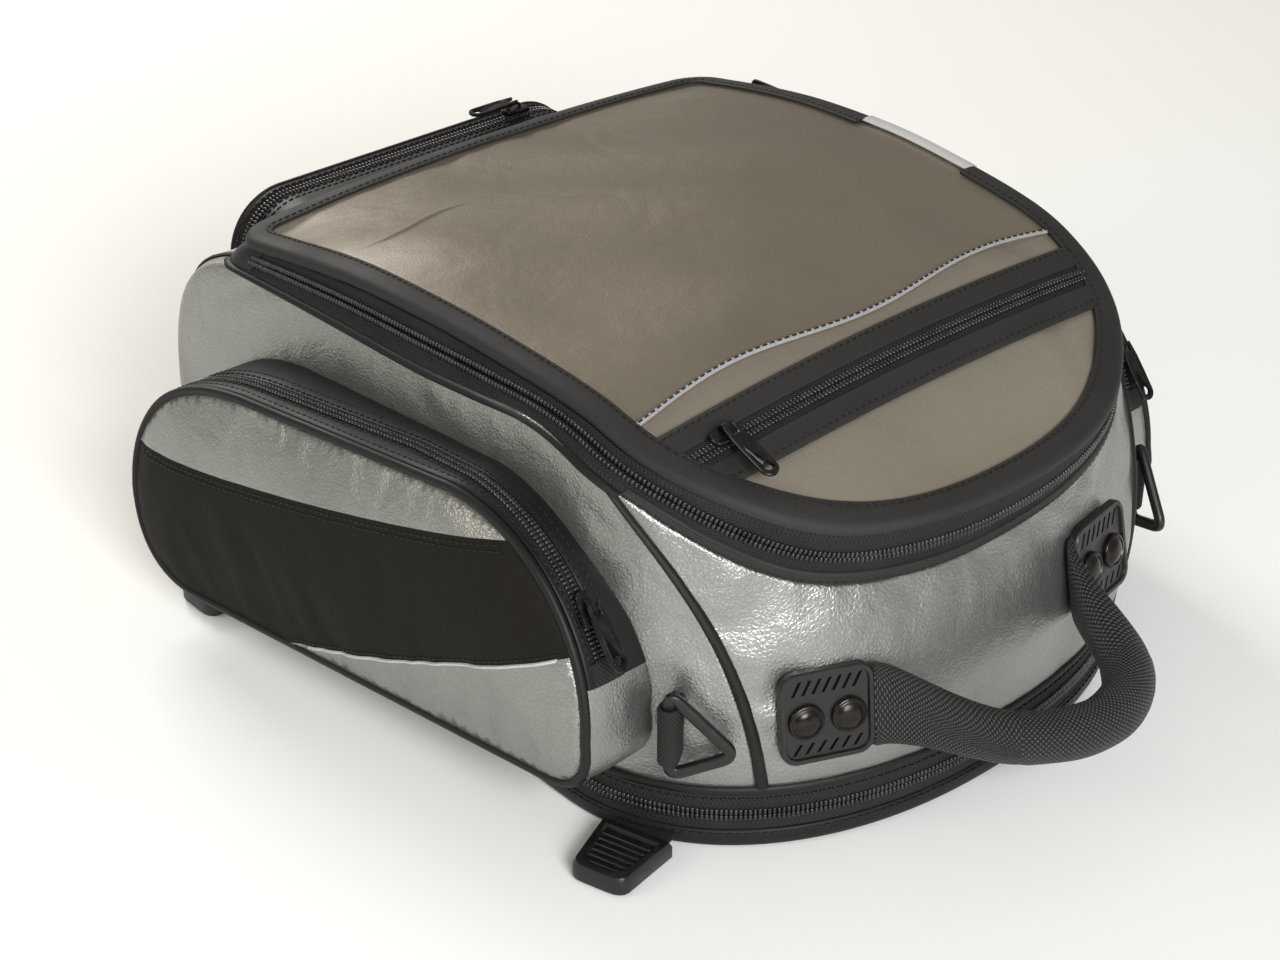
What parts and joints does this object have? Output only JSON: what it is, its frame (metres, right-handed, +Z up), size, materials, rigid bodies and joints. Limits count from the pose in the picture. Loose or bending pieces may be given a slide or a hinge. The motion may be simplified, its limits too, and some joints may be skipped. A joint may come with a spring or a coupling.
{
  "type": "motorcycle tank bag",
  "caption": "Padded D-shaped motorcycle tank bag on a zip-off base, with hinged map lid, zipped side and rear pockets, carrying handle, rings and strap buckles.",
  "frame": {"origin": "on the ground under the bag, at the middle of its width and 11 mm in front of the middle of its body's length", "axes": "+X to the bag's right seen from behind it, +Y towards the hinged rear, +Z up"},
  "size_m": [0.3908, 0.4593, 0.1889],
  "materials": {
    "silver_leather": "pebbled metallic silver",
    "lid_leather": "pebbled metallic silver, warm",
    "binding": "smooth dark grey binding tape",
    "zip_tape": "black herringbone tape with nylon coil",
    "webbing": "black woven webbing",
    "plastic": "moulded black",
    "board": "stiffener sheet",
    "rivet": "domed, glossy brown-black",
    "slider_metal": "burnished dark bronze",
    "map_vinyl": "clear flexible vinyl",
    "pad": "black lined foam"
  },
  "bodies": {
    "base": {"base_pad": "pad", "base_board": "board", "base_binding": "binding", "base_zip_lower": "zip_tape", "strap_front_left": "webbing", "strap_rear_left": "webbing", "strap_rear_right": "webbing"},
    "bag": {"base_zip_upper": "zip_tape", "bag_floor": "pad", "base_piping": "webbing", "front_panel": "silver_leather", "left_panel": "silver_leather", "right_panel": "silver_leather", "rear_panel": "silver_leather", "seam_piping_left": "webbing", "seam_piping_right": "webbing", "top_binding": "binding", "main_zip_lower": "zip_tape", "handle_plate_left": "plastic", "handle_plate_right": "plastic", "rivet_left_inner": "rivet", "rivet_left_outer": "rivet", "rivet_right_inner": "rivet", "rivet_right_outer": "rivet", "ring_tab_left": "webbing", "ring_tab_right": "webbing", "left_pocket_zip": "zip_tape", "left_pocket_gusset": "silver_leather", "left_pocket_piping": "webbing", "left_pocket_face": "silver_leather", "right_pocket_zip": "zip_tape", "right_pocket_gusset": "silver_leather", "right_pocket_piping": "webbing", "right_pocket_face": "silver_leather", "rear_pocket_zip": "zip_tape", "rear_pocket_gusset": "binding", "rear_pocket_face": "silver_leather"},
    "lid": {"lid_panel": "lid_leather", "lid_foam": "pad", "lid_binding": "binding", "lid_binding_right": "binding", "map_window": "map_vinyl", "lid_zip": "zip_tape", "main_zip_upper": "zip_tape"},
    "lid_slider": {"lid_slider": "slider_metal"},
    "lid_pull": {"lid_pull": "slider_metal"},
    "main_slider": {"main_slider": "slider_metal"},
    "main_pull": {"main_pull": "slider_metal"},
    "left_pocket_slider": {"left_pocket_slider": "slider_metal"},
    "left_pocket_pull": {"left_pocket_pull": "slider_metal"},
    "right_pocket_slider": {"right_pocket_slider": "slider_metal"},
    "right_pocket_pull": {"right_pocket_pull": "slider_metal"},
    "rear_pocket_slider": {"rear_pocket_slider": "slider_metal"},
    "rear_pocket_pull": {"rear_pocket_pull": "slider_metal"},
    "handle": {"handle_grip": "webbing"},
    "ring_left": {"ring_left": "plastic"},
    "ring_right": {"ring_right": "plastic"},
    "buckle_front_left": {"buckle_front_left": "plastic"},
    "buckle_rear_left": {"buckle_rear_left": "plastic"},
    "buckle_rear_right": {"buckle_rear_right": "plastic"}
  },
  "joints": [
    {"name": "bag_lift", "type": "slide", "parent": "base", "child": "bag", "axis": [0, 0, 1], "range_m": [0, 0.06]},
    {"name": "lid_hinge", "type": "hinge", "parent": "bag", "child": "lid", "pos_m": [0, 0.155, 0.165], "axis": [-1, 0, 0], "range_deg": [0, 95]},
    {"name": "lid_slider_run", "type": "hinge", "parent": "lid", "child": "lid_slider", "pos_m": [0.01954, -0.112, -1.1616], "axis": [0, 1, 0], "range_deg": [0, 7.5]},
    {"name": "main_slider_run", "type": "slide", "parent": "bag", "child": "main_slider", "axis": [-0.0214, -0.9976, 0.0663], "range_m": [0, 0.06]},
    {"name": "left_pocket_slider_run", "type": "hinge", "parent": "bag", "child": "left_pocket_slider", "pos_m": [-0.155, -0.036, 0.06], "axis": [1, 0, 0], "range_deg": [-50, 15]},
    {"name": "right_pocket_slider_run", "type": "hinge", "parent": "bag", "child": "right_pocket_slider", "pos_m": [0.155, -0.036, 0.06], "axis": [1, 0, 0], "range_deg": [-50, 15]},
    {"name": "rear_pocket_slider_run", "type": "slide", "parent": "bag", "child": "rear_pocket_slider", "axis": [-1, 0, 0], "range_m": [0, 0.124]},
    {"name": "lid_pull_flip", "type": "hinge", "parent": "lid_slider", "child": "lid_pull", "pos_m": [-0.09547, -0.11401, 0.17156], "axis": [-0.9967, 0.03, -0.0749], "range_deg": [0, 150]},
    {"name": "main_pull_flip", "type": "hinge", "parent": "main_slider", "child": "main_pull", "pos_m": [0.14505, 0.09764, 0.16913], "axis": [0.2534, 0, -0.9674], "range_deg": [0, 150]},
    {"name": "left_pocket_pull_flip", "type": "hinge", "parent": "left_pocket_slider", "child": "left_pocket_pull", "pos_m": [-0.155, -0.10519, 0.11406], "axis": [-1, 0, 0], "range_deg": [0, 150]},
    {"name": "right_pocket_pull_flip", "type": "hinge", "parent": "right_pocket_slider", "child": "right_pocket_pull", "pos_m": [0.155, -0.10519, 0.11406], "axis": [-1, 0, 0], "range_deg": [0, 150]},
    {"name": "rear_pocket_pull_flip", "type": "hinge", "parent": "rear_pocket_slider", "child": "rear_pocket_pull", "pos_m": [0.062, 0.207, 0.1576], "axis": [0, 1, 0], "range_deg": [0, 150]},
    {"name": "handle_swing", "type": "hinge", "parent": "bag", "child": "handle", "pos_m": [-0.062, -0.175, 0.054], "axis": [-0.988, 0.0285, -0.152], "range_deg": [-20, 60]},
    {"name": "ring_left_swing", "type": "hinge", "parent": "bag", "child": "ring_left", "pos_m": [-0.138, -0.129, 0.0595], "axis": [0, 0, -1], "range_deg": [0, 95]},
    {"name": "ring_right_swing", "type": "hinge", "parent": "bag", "child": "ring_right", "pos_m": [0.142, -0.129, 0.0595], "axis": [0, 0, 1], "range_deg": [0, 70]},
    {"name": "buckle_front_left_lift", "type": "hinge", "parent": "base", "child": "buckle_front_left", "pos_m": [-0.14307, -0.11686, 0.0092], "axis": [-0.2924, 0.9563, 0], "range_deg": [0, 70]},
    {"name": "buckle_rear_left_lift", "type": "hinge", "parent": "base", "child": "buckle_rear_left", "pos_m": [-0.15235, 0.14, 0.0092], "axis": [0, 1, 0], "range_deg": [0, 16]},
    {"name": "buckle_rear_right_lift", "type": "hinge", "parent": "base", "child": "buckle_rear_right", "pos_m": [0.15235, 0.14, 0.0092], "axis": [0, -1, 0], "range_deg": [0, 16]}
  ]
}
